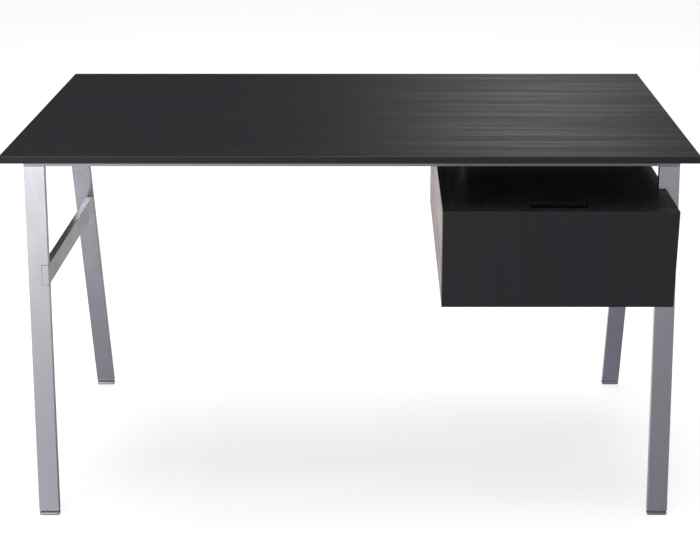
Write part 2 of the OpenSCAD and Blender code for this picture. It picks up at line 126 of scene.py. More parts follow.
class NodeSheet:
    """The node tree of one material, with a short call for each kind of node."""

    def __init__(self, name: str) -> None:
        """Starts a material with a Principled shader.

        Args:
            name: The material's name.
        """
        self.material = bpy.data.materials.new(name)
        self.material.use_nodes = True
        self.tree = self.material.node_tree
        self.tree.nodes.clear()
        self.shader = self.tree.nodes.new("ShaderNodeBsdfPrincipled")
        self.output = self.tree.nodes.new("ShaderNodeOutputMaterial")
        self.tree.links.new(self.shader.outputs["BSDF"], self.output.inputs["Surface"])

    def feed(self, socket: Socket, value: object) -> None:
        """Links a socket to another, or gives it a constant.

        Args:
            socket: The input socket.
            value: An output socket, a number, or numbers.
        """
        if isinstance(value, bpy.types.NodeSocket):
            self.tree.links.new(value, socket)
        elif isinstance(value, tuple) and len(value) == 3 and socket.type == "RGBA":
            socket.default_value = (*value, 1.0)
        else:
            socket.default_value = value

    def shade(self, **inputs: object) -> None:
        """Sets the Principled shader's inputs.

        Args:
            inputs: Values by input name, with _ for each space.
        """
        for name, value in inputs.items():
            self.feed(self.shader.inputs[name.replace("_", " ")], value)

    def math(self, operation: str, a: Value, b: Value = 0.0, clamp: bool = False) -> Socket:
        """One Math node.

        Args:
            operation: The node's operation.
            a: The first value.
            b: The second value.
            clamp: Whether the result is kept from 0 to 1.

        Returns:
            The result's socket.
        """
        node = self.tree.nodes.new("ShaderNodeMath")
        node.operation = operation
        node.use_clamp = clamp
        self.feed(node.inputs[0], a)
        self.feed(node.inputs[1], b)
        return node.outputs[0]

    def places(self) -> tuple[Socket, Socket, Socket]:
        """The place of each point in the row frame.

        Returns:
            The X, Y and Z sockets, in metres.
        """
        where = self.tree.nodes.new("ShaderNodeTexCoord")
        split = self.tree.nodes.new("ShaderNodeSeparateXYZ")
        self.feed(split.inputs[0], where.outputs["Object"])
        return split.outputs[0], split.outputs[1], split.outputs[2]

    def joined(self, x: Value, y: Value, z: Value) -> Socket:
        """A vector from three values.

        Args:
            x: The first value.
            y: The second value.
            z: The third value.

        Returns:
            The vector's socket.
        """
        node = self.tree.nodes.new("ShaderNodeCombineXYZ")
        for socket, value in zip(node.inputs, (x, y, z)):
            self.feed(socket, value)
        return node.outputs[0]

    def noise(
        self, vector: Socket, scale: float = 1.0, detail: float = 3.0, rough: float = 0.55
    ) -> Socket:
        """One Noise node.

        Args:
            vector: Where the noise is read.
            scale: Features for each unit of the vector.
            detail: Octaves of finer noise.
            rough: Strength of each finer octave.

        Returns:
            The noise's value, mostly from 0.3 to 0.7.
        """
        node = self.tree.nodes.new("ShaderNodeTexNoise")
        self.feed(node.inputs["Vector"], vector)
        self.feed(node.inputs["Scale"], scale)
        self.feed(node.inputs["Detail"], detail)
        self.feed(node.inputs["Roughness"], rough)
        return node.outputs["Fac"]

    def ranged(
        self, value: Value, low: float, high: float, to_low: float = 0.0, to_high: float = 1.0
    ) -> Socket:
        """A value taken smoothly from one range to another, and kept within it.

        Args:
            value: The value.
            low: Where the range starts.
            high: Where the range ends.
            to_low: The result at the start.
            to_high: The result at the end.

        Returns:
            The result's socket.
        """
        node = self.tree.nodes.new("ShaderNodeMapRange")
        node.interpolation_type = "SMOOTHSTEP"
        for name, number in (
            ("Value", value),
            ("From Min", low),
            ("From Max", high),
            ("To Min", to_low),
            ("To Max", to_high),
        ):
            self.feed(node.inputs[name], number)
        return node.outputs["Result"]

    def mixed(self, share: Value, a: Colour | Socket, b: Colour | Socket) -> Socket:
        """One colour mix.

        Args:
            share: How much of b.
            a: The first colour.
            b: The second colour.

        Returns:
            The colour's socket.
        """
        node = self.tree.nodes.new("ShaderNodeMix")
        node.data_type = "RGBA"
        self.feed(node.inputs["Factor"], share)
        self.feed(node.inputs[6], a)
        self.feed(node.inputs[7], b)
        return node.outputs[2]

    def edges(self, radius: float) -> Socket:
        """How near each point is to a convex or concave edge.

        Args:
            radius: The reach from the edge, in metres.

        Returns:
            0 on flat faces, rising to about 1 on an edge.
        """
        bevel = self.tree.nodes.new("ShaderNodeBevel")
        bevel.samples = 4
        self.feed(bevel.inputs["Radius"], radius)
        plain = self.tree.nodes.new("ShaderNodeNewGeometry")
        dot = self.tree.nodes.new("ShaderNodeVectorMath")
        dot.operation = "DOT_PRODUCT"
        self.feed(dot.inputs[0], bevel.outputs[0])
        self.feed(dot.inputs[1], plain.outputs["Normal"])
        return self.ranged(dot.outputs["Value"], FLAT_COSINE, EDGE_COSINE)

    def bumped(self, height: Socket, depth: float, strength: float = 1.0) -> None:
        """Gives the shader a bump.

        Args:
            height: The height, from 0 to 1.
            depth: The depth of that range, in metres.
            strength: How strongly it shows.
        """
        node = self.tree.nodes.new("ShaderNodeBump")
        self.feed(node.inputs["Height"], height)
        self.feed(node.inputs["Distance"], depth)
        self.feed(node.inputs["Strength"], strength)
        self.shade(Normal=node.outputs[0])


@dataclass(frozen=True)
class Timber:
    """A straight-grained timber with open pores, under stain or a thin lacquer."""

    name: str
    deep: Colour
    pale: Colour
    pore: Colour
    # Colour of the paled edges: wear, and on the black stain also a painted highlight along each arris.
    worn: Colour
    streak_length: float = 700 * MM
    streak_width: float = 17 * MM
    fibre_length: float = 140 * MM
    fibre_width: float = 1.7 * MM
    wander: float = 9 * MM
    pore_length: float = 17 * MM
    pore_width: float = 0.55 * MM
    pore_share: float = 0.50
    pore_depth: float = 0.09 * MM
    roughness: Span = (0.30, 0.50)
    lacquer: float = 0.2
    lacquer_roughness: float = 0.3
    # Share and reach of the paled edges, which stand for wear and for a painted highlight along each arris.
    wear: float = 0.5
    wear_reach: float = 1.6 * MM
    streak_share: float = 0.66
    pore_darkness: float = 0.75
    pore_roughness: float = 0.16
    fibre_relief: float = 0.4
    relief: float = 0.38
    seed_along: float = 1.7
    seed_through: float = 0.3
    drift_along: float = 1.6
    drift_across: float = 1.1

    def material(self, board: str, grain: Axis, face: Axis, seed: int) -> bpy.types.Material:
        """The finish of one board, with its own stretch of grain.

        Args:
            board: The board's piece name.
            grain: The axis along the grain.
            face: The axis through the board's thickness.
            seed: A number of its own for each board.

        Returns:
            The material.
        """
        sheet = NodeSheet(f"{self.name}_{board}")
        place = sheet.places()
        across = next(a for a in Axis if a not in (grain, face))
        along = sheet.math("ADD", place[grain.value], self.seed_along * seed)
        depth = sheet.math("ADD", place[face.value], self.seed_through * seed)
        slow = sheet.joined(
            sheet.math("MULTIPLY", along, self.drift_along),
            sheet.math("MULTIPLY", place[across.value], self.drift_across),
            depth,
        )
        swing = sheet.math("SUBTRACT", sheet.noise(slow, 1.0, 1.0), 0.5)
        drift = sheet.math("MULTIPLY", swing, 4.0 * self.wander)
        side = sheet.math("ADD", place[across.value], drift)

        streaks = self.drawn_out(sheet, along, side, depth, self.streak_length, self.streak_width, 4.0)
        fibres = self.drawn_out(sheet, along, side, depth, self.fibre_length, self.fibre_width, 3.0)
        pores = self.drawn_out(sheet, along, side, depth, self.pore_length, self.pore_width, 2.0)
        streaks = sheet.ranged(streaks, 0.33, 0.67)
        fibres = sheet.ranged(fibres, 0.30, 0.70)
        pores = sheet.ranged(pores, 1.06 - self.pore_share, 1.2 - self.pore_share)
        # The edge mask and the mix below pale the edges: wear, plus a painted highlight along each arris.
        worn = sheet.edges(self.wear_reach)

        tone = sheet.math(
            "ADD",
            sheet.math("MULTIPLY", streaks, self.streak_share),
            sheet.math("MULTIPLY", fibres, 1.0 - self.streak_share),
        )
        colour = sheet.mixed(tone, self.deep, self.pale)
        colour = sheet.mixed(sheet.math("MULTIPLY", pores, self.pore_darkness), colour, self.pore)
        colour = sheet.mixed(sheet.math("MULTIPLY", worn, self.wear), colour, self.worn)
        rough = sheet.ranged(tone, 0.1, 0.9, self.roughness[1], self.roughness[0])
        rough = sheet.math("ADD", rough, sheet.math("MULTIPLY", pores, self.pore_roughness), clamp=True)
        height = sheet.math("SUBTRACT", sheet.math("MULTIPLY", fibres, self.fibre_relief), pores)
        sheet.shade(
            Base_Color=colour,
            Roughness=rough,
            IOR=1.5,
            Coat_Weight=self.lacquer,
            Coat_Roughness=self.lacquer_roughness,
        )
        sheet.bumped(height, self.pore_depth, self.relief)
        return sheet.material

    @staticmethod
    def drawn_out(
        sheet: NodeSheet,
        along: Socket,
        side: Socket,
        depth: Socket,
        length: float,
        width: float,
        detail: float,
    ) -> Socket:
        """Noise drawn out along the grain.

        Args:
            sheet: The material's nodes.
            along: The place along the grain.
            side: The place across the board.
            depth: The place through the board.
            length: How long each feature is.
            width: How wide each feature is.
            detail: Octaves of finer noise.

        Returns:
            The noise, mostly from 0.3 to 0.7.
        """
        vector = sheet.joined(
            sheet.math("DIVIDE", along, length),
            sheet.math("DIVIDE", side, width),
            sheet.math("DIVIDE", depth, 2.0 * width),
        )
        return sheet.noise(vector, 1.0, detail, 0.6)


@dataclass(frozen=True)
class Metal:
    """A metal with fine scratches along one axis and cloudy wear."""

    name: str
    colour: Colour
    shadow: Colour
    roughness: Span = (0.28, 0.42)
    scratch_length: float = 60 * MM
    scratch_width: float = 0.5 * MM
    scratch_depth: float = 0.02 * MM
    cloud: float = 45 * MM
    polish: float = 0.35
    polish_reach: float = 1.2 * MM
    polish_shine: float = 1.18
    polish_smooth: float = 0.08
    scratch_share: float = 0.35
    coarse_pitch: float = 0.22

    def material(self, piece: str, brushed: Axis) -> bpy.types.Material:
        """The finish of one piece.

        Args:
            piece: The piece's name.
            brushed: The axis along which it was brushed.

        Returns:
            The material.
        """
        sheet = NodeSheet(f"{self.name}_{piece}")
        place = sheet.places()
        pitch = [self.scratch_width] * 3
        pitch[brushed.value] = self.scratch_length
        line = sheet.joined(*(sheet.math("DIVIDE", p, d) for p, d in zip(place, pitch)))
        scratch = sheet.ranged(sheet.noise(line, 1.0, 3.0, 0.6), 0.32, 0.68)
        coarse = sheet.noise(line, self.coarse_pitch, 2.0)
        cloud = sheet.ranged(sheet.noise(sheet.joined(*place), 1.0 / self.cloud, 3.0), 0.34, 0.68)
        worn = sheet.edges(self.polish_reach)

        tone = sheet.math(
            "ADD",
            sheet.math("MULTIPLY", scratch, self.scratch_share),
            sheet.math("MULTIPLY", cloud, 1.0 - self.scratch_share),
        )
        bright = tuple(min(1.0, self.polish_shine * c) for c in self.colour)
        colour = sheet.mixed(tone, self.shadow, self.colour)
        colour = sheet.mixed(sheet.math("MULTIPLY", worn, self.polish), colour, bright)
        rough = sheet.ranged(tone, 0.0, 1.0, self.roughness[1], self.roughness[0])
        rough = sheet.math("SUBTRACT", rough, sheet.math("MULTIPLY", worn, self.polish_smooth), clamp=True)
        sheet.shade(Base_Color=colour, Metallic=1.0, Roughness=rough)
        fine = sheet.math("MULTIPLY", scratch, 0.6)
        height = sheet.math("ADD", fine, sheet.math("MULTIPLY", coarse, 0.4))
        sheet.bumped(height, self.scratch_depth, 0.5)
        return sheet.material


@dataclass(frozen=True)
class Moulding:
    """A moulded plastic or rubber with a fine skin texture."""

    name: str
    colour: Colour
    scuffed: Colour
    roughness: Span = (0.38, 0.55)
    skin: float = 0.9 * MM
    skin_depth: float = 0.03 * MM
    clear: float = 0.0

    def material(self, piece: str) -> bpy.types.Material:
        """The finish of one piece.

        Args:
            piece: The piece's name.

        Returns:
            The material.
        """
        sheet = NodeSheet(f"{self.name}_{piece}")
        where = sheet.joined(*sheet.places())
        skin = sheet.noise(where, 1.0 / self.skin, 2.0)
        scuff = sheet.ranged(sheet.noise(where, 120.0, 3.0), 0.5, 0.72)
        worn = sheet.math("MAXIMUM", sheet.math("MULTIPLY", scuff, 0.4), sheet.edges(0.8 * MM))
        sheet.shade(
            Base_Color=sheet.mixed(sheet.math("MULTIPLY", worn, 0.6), self.colour, self.scuffed),
            Roughness=sheet.ranged(scuff, 0.0, 1.0, *self.roughness),
            Transmission_Weight=self.clear,
            IOR=1.45,
        )
        sheet.bumped(skin, self.skin_depth, 0.5)
        return sheet.material


BLACK_STAIN = Timber(
    name="black_stained_timber",
    deep=(0.0070, 0.0064, 0.0084),
    pale=(0.0145, 0.0130, 0.0160),
    pore=(0.0050, 0.0046, 0.0056),
    # The pale edge colour and its high share paint a highlight along each arris, over a little edge wear.
    worn=(0.085, 0.080, 0.088),
    pore_depth=0.05 * MM,
    roughness=(0.27, 0.40),
    wear=0.7,
)
BIRCH = Timber(
    name="birch_drawer_board",
    deep=(0.50, 0.345, 0.200),
    pale=(0.68, 0.510, 0.330),
    pore=(0.40, 0.26, 0.14),
    worn=(0.72, 0.58, 0.40),
    streak_width=11 * MM,
    pore_width=0.4 * MM,
    pore_share=0.40,
    pore_depth=0.03 * MM,
    roughness=(0.36, 0.46),
    wear=0.3,
)
BEECH = Timber(
    name="beech_dowel",
    deep=(0.45, 0.27, 0.15),
    pale=(0.60, 0.40, 0.24),
    pore=(0.30, 0.16, 0.08),
    worn=(0.62, 0.45, 0.28),
    streak_width=3 * MM,
    pore_depth=0.03 * MM,
    roughness=(0.50, 0.62),
    lacquer=0.0,
    wear=0.2,
)
FLAT_BAR = Metal(
    name="brushed_flat_bar",
    colour=(0.62, 0.62, 0.65),
    shadow=(0.55, 0.55, 0.58),
    roughness=(0.235, 0.285),
    scratch_depth=0.008 * MM,
)
WELD = Metal(
    name="ground_weld",
    colour=(0.50, 0.49, 0.50),
    shadow=(0.33, 0.30, 0.29),
    roughness=(0.30, 0.48),
    scratch_length=3 * MM,
    cloud=6 * MM,
)
ZINC = Metal(
    name="zinc_screw",
    colour=(0.70, 0.71, 0.74),
    shadow=(0.55, 0.56, 0.60),
    roughness=(0.24, 0.38),
    scratch_length=4 * MM,
    cloud=8 * MM,
)
SLIDE_STEEL = Metal(
    name="slide_steel",
    colour=(0.66, 0.68, 0.71),
    shadow=(0.52, 0.54, 0.57),
    roughness=(0.24, 0.36),
    scratch_length=120 * MM,
    cloud=30 * MM,
)
BRASS = Metal(
    name="brass_insert",
    colour=(0.86, 0.66, 0.34),
    shadow=(0.66, 0.47, 0.22),
    scratch_length=2 * MM,
    cloud=5 * MM,
)
NYLON = Moulding(name="nylon_glide", colour=(0.055, 0.055, 0.058), scuffed=(0.16, 0.16, 0.165))
SILICONE = Moulding(
    name="clear_bumper",
    colour=(0.80, 0.81, 0.82),
    scuffed=(0.88, 0.88, 0.88),
    roughness=(0.22, 0.34),
    clear=0.55,
)


# ---- shared mesh work ----


def add_piece(
    name: str,
    mesh: bpy.types.Mesh,
    body: str,
    material: bpy.types.Material,
    soft_above: float = 32.0,
) -> bpy.types.Object:
    """Puts a mesh in the scene as a piece of the desk.

    Args:
        name: The piece's name.
        mesh: Its mesh, with places in the row frame.
        body: The CAD body it moves with.
        material: Its finish.
        soft_above: Edges that turn by more than this many degrees stay sharp.

    Returns:
        The piece.
    """
    mesh.name = name
    mesh.polygons.foreach_set("use_smooth", [True] * len(mesh.polygons))
    mesh.set_sharp_from_angle(angle=math.radians(soft_above))
    mesh.materials.clear()
    mesh.materials.append(material)
    piece = bpy.data.objects.new(name, mesh)
    bpy.context.scene.collection.objects.link(piece)
    even = piece.modifiers.new("even_normals", "WEIGHTED_NORMAL")
    even.keep_sharp = True
    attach(piece, body)
    LOG.info("piece %s rides on %s, %d faces", name, body, len(mesh.polygons))
    return piece


def from_bmesh(work: bmesh.types.BMesh) -> bpy.types.Mesh:
    """Turns a bmesh into a mesh and frees it.

    Args:
        work: The bmesh.

    Returns:
        The mesh.
    """
    bmesh.ops.recalc_face_normals(work, faces=work.faces)
    mesh = bpy.data.meshes.new("piece")
    work.to_mesh(mesh)
    work.free()
    return mesh


def eased_copy(node: bpy.types.Object, radius: float, shortest: float = 0.9 * MM) -> bpy.types.Mesh:
    """A CAD node's mesh with flat faces made whole and its long edges rounded over.

    Args:
        node: The CAD node.
        radius: The rounding of each edge.
        shortest: Edges shorter than this, such as round a screw hole, stay sharp.

    Returns:
        The new mesh.
    """
    work = bmesh.new()
    work.from_mesh(node.data)
    bmesh.ops.remove_doubles(work, verts=work.verts, dist=MERGE_DISTANCE)
    bmesh.ops.dissolve_limit(
        work, angle_limit=math.radians(0.4), verts=work.verts, edges=work.edges, use_dissolve_boundaries=False
    )
    edges = [
        e
        for e in work.edges
        if len(e.link_faces) == 2 and e.calc_face_angle(0.0) > math.radians(35) and e.calc_length() > shortest
    ]
    bmesh.ops.bevel(
        work,
        geom=edges,
        offset=radius,
        offset_type="OFFSET",
        segments=3,
        profile=0.5,
        affect="EDGES",
        clamp_overlap=True,
    )
    return from_bmesh(work)


def sweep(rings: Sequence[Sequence[Vector]], capped: bool = True, closed: bool = True) -> bmesh.types.BMesh:
    """Joins rings of points into a skin.

    Args:
        rings: Rings with the same number of points each.
        capped: Whether the first and last ring are filled.
        closed: Whether each ring joins its last point to its first.

    Returns:
        The skin.
    """
    work = bmesh.new()
    made = [[work.verts.new(p) for p in ring] for ring in rings]
    count = len(rings[0])
    for near, far in zip(made, made[1:]):
        for i in range(count if closed else count - 1):
            j = (i + 1) % count
            work.faces.new((near[i], near[j], far[j], far[i]))
    if capped:
        work.faces.new(made[0])
        work.faces.new(list(reversed(made[-1])))
    return work


def merged(parts: Iterable[bmesh.types.BMesh]) -> bmesh.types.BMesh:
    """Joins several bmeshes into one and frees them.

    Args:
        parts: The bmeshes.

    Returns:
        One bmesh with all of them.
    """
    whole = bmesh.new()
    for part in parts:
        held = bpy.data.meshes.new("held")
        part.to_mesh(held)
        part.free()
        whole.from_mesh(held)
        bpy.data.meshes.remove(held)
    return whole


def islands(node: bpy.types.Object) -> list[tuple[Vector, Vector]]:
    """The box of each separate solid of a CAD node.

    Args:
        node: The CAD node.

    Returns:
        Each solid's lowest and highest corner, in order along X, then Y, then Z.
    """
    work = bmesh.new()
    work.from_mesh(node.data)
    bmesh.ops.remove_doubles(work, verts=work.verts, dist=MERGE_DISTANCE)
    boxes = []
    left = set(work.verts)
    while left:
        group, edge = set(), [left.pop()]
        while edge:
            vert = edge.pop()
            group.add(vert)
            near = {e.other_vert(vert) for e in vert.link_edges} & left
            left -= near
            edge.extend(near)
        spans = [(min(v.co[a] for v in group), max(v.co[a] for v in group)) for a in range(3)]
        boxes.append(tuple(Vector(corner) for corner in zip(*spans)))
    work.free()
    return sorted(boxes, key=lambda box: tuple(round(c, 5) for c in box[0]))


@dataclass(frozen=True)
class Bead:
    """A rippled fillet weld in the corner of two faces."""

    start: Vector
    end: Vector
    wall_a: Vector
    wall_b: Vector
    leg: float = 3.2 * MM
    ripple: float = 1.9 * MM
    step: float = 0.32 * MM
    root: float = 0.25 * MM
    arc_points: int = 7

    def skin(self) -> bmesh.types.BMesh:
        """The bead's closed skin, with rounded ends."""
        length = (self.end - self.start).length
        count = max(12, round(length / self.step))
        return sweep([self.ring(i / count, length) for i in range(count + 1)])

    def ring(self, share: float, length: float) -> list[Vector]:
        """The bead's outline at one place.

        Args:
            share: How far along the bead, from 0 to 1.
            length: The bead's length.

        Returns:
            The outline's points.
        """
        middle = self.start.lerp(self.end, share)
        near_end = min(share, 1.0 - share) * length
        rounding = math.sqrt(max(0.02, 1.0 - max(0.0, 1.0 - near_end / self.leg) ** 2))
        phase = 2.0 * math.pi * share * length / self.ripple
        points = [middle - self.root * (self.wall_a + self.wall_b)]
        for k in range(self.arc_points):
            turn = 0.5 * math.pi * k / (self.arc_points - 1)
            crown = math.sin(2.0 * turn)
            wave = 1.0 + 0.055 * math.sin(phase + 1.1 * crown) + 0.10 * noise.noise(middle * 260.0)
            a = 0.45 * (1.0 - k / (self.arc_points - 1)) + 0.55 * math.cos(turn)
            b = 0.45 * k / (self.arc_points - 1) + 0.55 * math.sin(turn)
            points.append(middle + self.leg * rounding * wave * (a * self.wall_a + b * self.wall_b))
        return points


def rounded_rectangle(low: Span, high: Span, corner: float, steps: int = 5) -> list[Span]:
    """A rectangle's outline with round corners.

    Args:
        low: The lowest X and Y.
        high: The highest X and Y.
        corner: The corners' radius.
        steps: Points on each corner.

    Returns:
        The outline's points, anticlockwise.
    """
    points = []
    centres = (
        (high[0] - corner, high[1] - corner),
        (low[0] + corner, high[1] - corner),
        (low[0] + corner, low[1] + corner),
        (high[0] - corner, low[1] + corner),
    )
    for quarter, (x, y) in enumerate(centres):
        for k in range(steps):
            turn = 0.5 * math.pi * (quarter + k / (steps - 1))
            points.append((x + corner * math.cos(turn), y + corner * math.sin(turn)))
    return points


def eased_plate(low: Vector, high: Vector, corner: float, arris: float) -> bmesh.types.BMesh:
    """A flat plate with round corners and eased top and bottom edges.

    Args:
        low: Its lowest corner.
        high: Its highest corner.
        corner: The radius of the corners seen from above.
        arris: The rounding of the top and bottom edges.

    Returns:
        The plate's skin.
    """
    rings = []
    turns = [0.5 * math.pi * k / 3 for k in range(4)]
    levels = [(low.z + arris * (1 - math.sin(t)), arris * (1 - math.cos(t))) for t in reversed(turns)]
    levels += [(high.z - arris * (1 - math.sin(t)), arris * (1 - math.cos(t))) for t in turns]
    for z, inset in levels:
        outline = rounded_rectangle(
            (low.x + inset, low.y + inset), (high.x - inset, high.y - inset), corner - 0.9 * inset
        )
        rings.append([Vector((x, y, z)) for x, y in outline])
    return sweep(rings)


@dataclass(frozen=True)
class Stud:
    """An upright rod with a rolled thread."""

    crest: float = 3.0 * MM
    root: float = 2.45 * MM
    pitch: float = 1.0 * MM
    lead_in: float = 0.8 * MM
    around: int = 28
    rings_per_pitch: int = 8

    def skin(self, x: float, y: float, low: float, high: float) -> bmesh.types.BMesh:
        """The stud's closed skin.

        Args:
            x: The X of the stud's axis.
            y: The Y of the stud's axis.
            low: Its lower end.
            high: Its upper end.

        Returns:
            The skin.
        """
        count = round((high - low) / self.pitch * self.rings_per_pitch)
        rings = []
        for i in range(count + 1):
            z = low + (high - low) * i / count
            limit = self.root - 0.2 * MM + (high - z)
            ring = []
            for k in range(self.around):
                share = k / self.around
                turn = (z / self.pitch - share) % 1.0
                crest = min(1.0, max(0.0, 1.15 * abs(2.0 * turn - 1.0) - 0.05))
                radius = min(self.root + (self.crest - self.root) * crest, limit)
                angle = 2.0 * math.pi * share
                ring.append(Vector((x + radius * math.cos(angle), y + radius * math.sin(angle), z)))
            rings.append(ring)
        return sweep(rings)


def dome(low: Vector, high: Vector, steps: int = 7, around: int = 28) -> bmesh.types.BMesh:
    """A low dome that bulges towards -Y, with its flat back at +Y.

    Args:
        low: Its lowest corner.
        high: Its highest corner.
        steps: Rings from the rim to the crown.
        around: Points round each ring.

    Returns:
        The dome's skin.
    """
    middle = 0.5 * (low + high)
    radius = 0.5 * (high.x - low.x)
    height = high.y - low.y
    rim = 0.25 * height
    profile = [(radius, high.y), (radius, high.y - rim)]
    for k in range(1, steps):
        turn = 0.5 * math.pi * k / steps
        profile.append((radius * math.cos(turn), high.y - rim - (height - rim) * math.sin(turn)))
    profile.append((0.06 * radius, low.y))
    skins = []
    for reach, y in profile:
        turns = [2.0 * math.pi * k / around for k in range(around)]
        skins.append(
            [Vector((middle.x + reach * math.cos(t), y, middle.z + reach * math.sin(t))) for t in turns]
        )
    return sweep(skins)


@dataclass(frozen=True)
class RolledStrip:
    """A strip of sheet rolled to a channel, drawn from its middle line in X and Z."""

    corners: tuple[Span, ...]
    thickness: float = 1.2 * MM
    bend: float = 1.3 * MM
    bend_steps: int = 5

    def middle_line(self) -> list[Vector]:
        """The strip's middle line with round bends."""
        points = [Vector(c) for c in self.corners]
        line = [points[0]]
        for before, corner, after in zip(points, points[1:], points[2:]):
            into, out = (before - corner), (after - corner)
            reach = min(self.bend, 0.45 * into.length, 0.45 * out.length)
            first = corner + into.normalized() * reach
            last = corner + out.normalized() * reach
            for k in range(self.bend_steps):
                t = k / (self.bend_steps - 1)
                line.append((1 - t) ** 2 * first + 2 * t * (1 - t) * corner + t**2 * last)
        return [*line, points[-1]]

    def outline(self) -> list[Vector]:
        """The strip's closed outline."""
        line = self.middle_line()
        left, right = [], []
        for i, point in enumerate(line):
            before, after = line[max(i - 1, 0)], line[min(i + 1, len(line) - 1)]
            run = (after - before).normalized()
            away = 0.5 * self.thickness * Vector((-run.y, run.x))
            left.append(point + away)
            right.append(point - away)
        return left + right[::-1]

    def skin(self, start: Vector, sign: int, far_y: float) -> bmesh.types.BMesh:
        """The strip's closed skin.

        Args:
            start: Where the drawing's origin is, at the front end.
            sign: 1 where the drawing's X runs along +X, or -1.
            far_y: The Y of the rear end.

        Returns:
            The skin.
        """
        outline = self.outline()
        rings = [
            [Vector((start.x + sign * p.x, y, start.z + p.y)) for p in outline] for y in (start.y, far_y)
        ]
        return sweep(rings)


def balls(centres: Iterable[Vector], radius: float) -> list[bmesh.types.BMesh]:
    """Bearing balls.

    Args:
        centres: Their centres.
        radius: Their radius.

    Returns:
        One skin for each ball.
    """
    skins = []
    for centre in centres:
        work = bmesh.new()
        bmesh.ops.create_icosphere(work, subdivisions=2, radius=radius, matrix=Matrix.Translation(centre))
        skins.append(work)
    return skins


def dress(node: bpy.types.Object, material: bpy.types.Material) -> None:
    """Gives a CAD node a finish in place of its plain one.

    Args:
        node: The CAD node.
        material: The finish.
    """
    node.data.materials.clear()
    node.data.materials.append(material)
    LOG.info("node %s is dressed in %s", node.name, material.name)


@dataclass
class Workshop:
    """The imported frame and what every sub-assembly does with its nodes."""

    frame: dict
    seeds: int = 0

    @property
    def nodes(self) -> dict[str, bpy.types.Object]:
        """The CAD nodes by name."""
        return self.frame["nodes"]

    def next_seed(self) -> int:
        """A new number for each board's grain."""
        self.seeds += 1
        return self.seeds

    def eased(self, node: str, radius: float, slot: str, material: bpy.types.Material) -> bpy.types.Object:
        """Replaces a CAD node by a copy with rounded edges.

        Args:
            node: The node's name.
            radius: The rounding of each edge.
            slot: The record's material slot; not used.
            material: The finish.

        Returns:
            The new piece.
        """
        source = self.nodes[node]
        piece = add_piece(f"{node}_eased", eased_copy(source, radius), source["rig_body"], material)
        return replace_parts(piece, node)

    def board(self, node: str, timber: Timber, grain: Axis, face: Axis, radius: float) -> bpy.types.Object:
        """Replaces a CAD board by one with rounded edges and grain of its own.

        Args:
            node: The node's name.
            timber: The timber and its finish.
            grain: The axis along the grain.
            face: The axis through the thickness.
            radius: The rounding of each edge.

        Returns:
            The new piece.
        """
        material = timber.material(node, grain, face, self.next_seed())
        return self.eased(node, radius, timber.name, material)

    def bar(self, node: str, brushed: Axis, radius: float) -> bpy.types.Object:
        """Replaces a CAD steel bar by one with rounded edges, brushed along an axis.

        Args:
            node: The node's name.
            brushed: The axis along which the bar was brushed.
            radius: The rounding of each edge.

        Returns:
            The new piece.
        """
        return self.eased(node, radius, FLAT_BAR.name, FLAT_BAR.material(node, brushed))

    def made(
        self,
        name: str,
        skins: Iterable[bmesh.types.BMesh],
        body: str,
        slot: str,
        material: bpy.types.Material,
    ) -> bpy.types.Object:
        """Makes one piece of several closed skins.

        Args:
            name: The piece's name.
            skins: Its skins.
            body: The CAD body it moves with.
            slot: The record's material slot; not used.
            material: The finish.

        Returns:
            The piece.
        """
        return add_piece(name, from_bmesh(merged(skins)), body, material)

    def metal(self, node: str, metal: Metal, brushed: Axis = Axis.Z) -> None:
        """Gives a CAD node a metal finish.

        Args:
            node: The node's name.
            metal: The metal.
            brushed: The axis along which it was brushed or turned.
        """
        dress(self.nodes[node], metal.material(node, brushed))


# ---- sub-assemblies ----


@dataclass
class Desktop:
    """The thin black desktop with its inserts and screws."""

    shop: Workshop
    arris: float = 0.9 * MM

    def build(self) -> None:
        """Makes and dresses the desktop's pieces."""
        self.shop.board("desktop", BLACK_STAIN, Axis.X, Axis.Z, self.arris)
        self.shop.metal("desktop_inserts", BRASS)
        self.shop.metal("desktop_screws", ZINC)


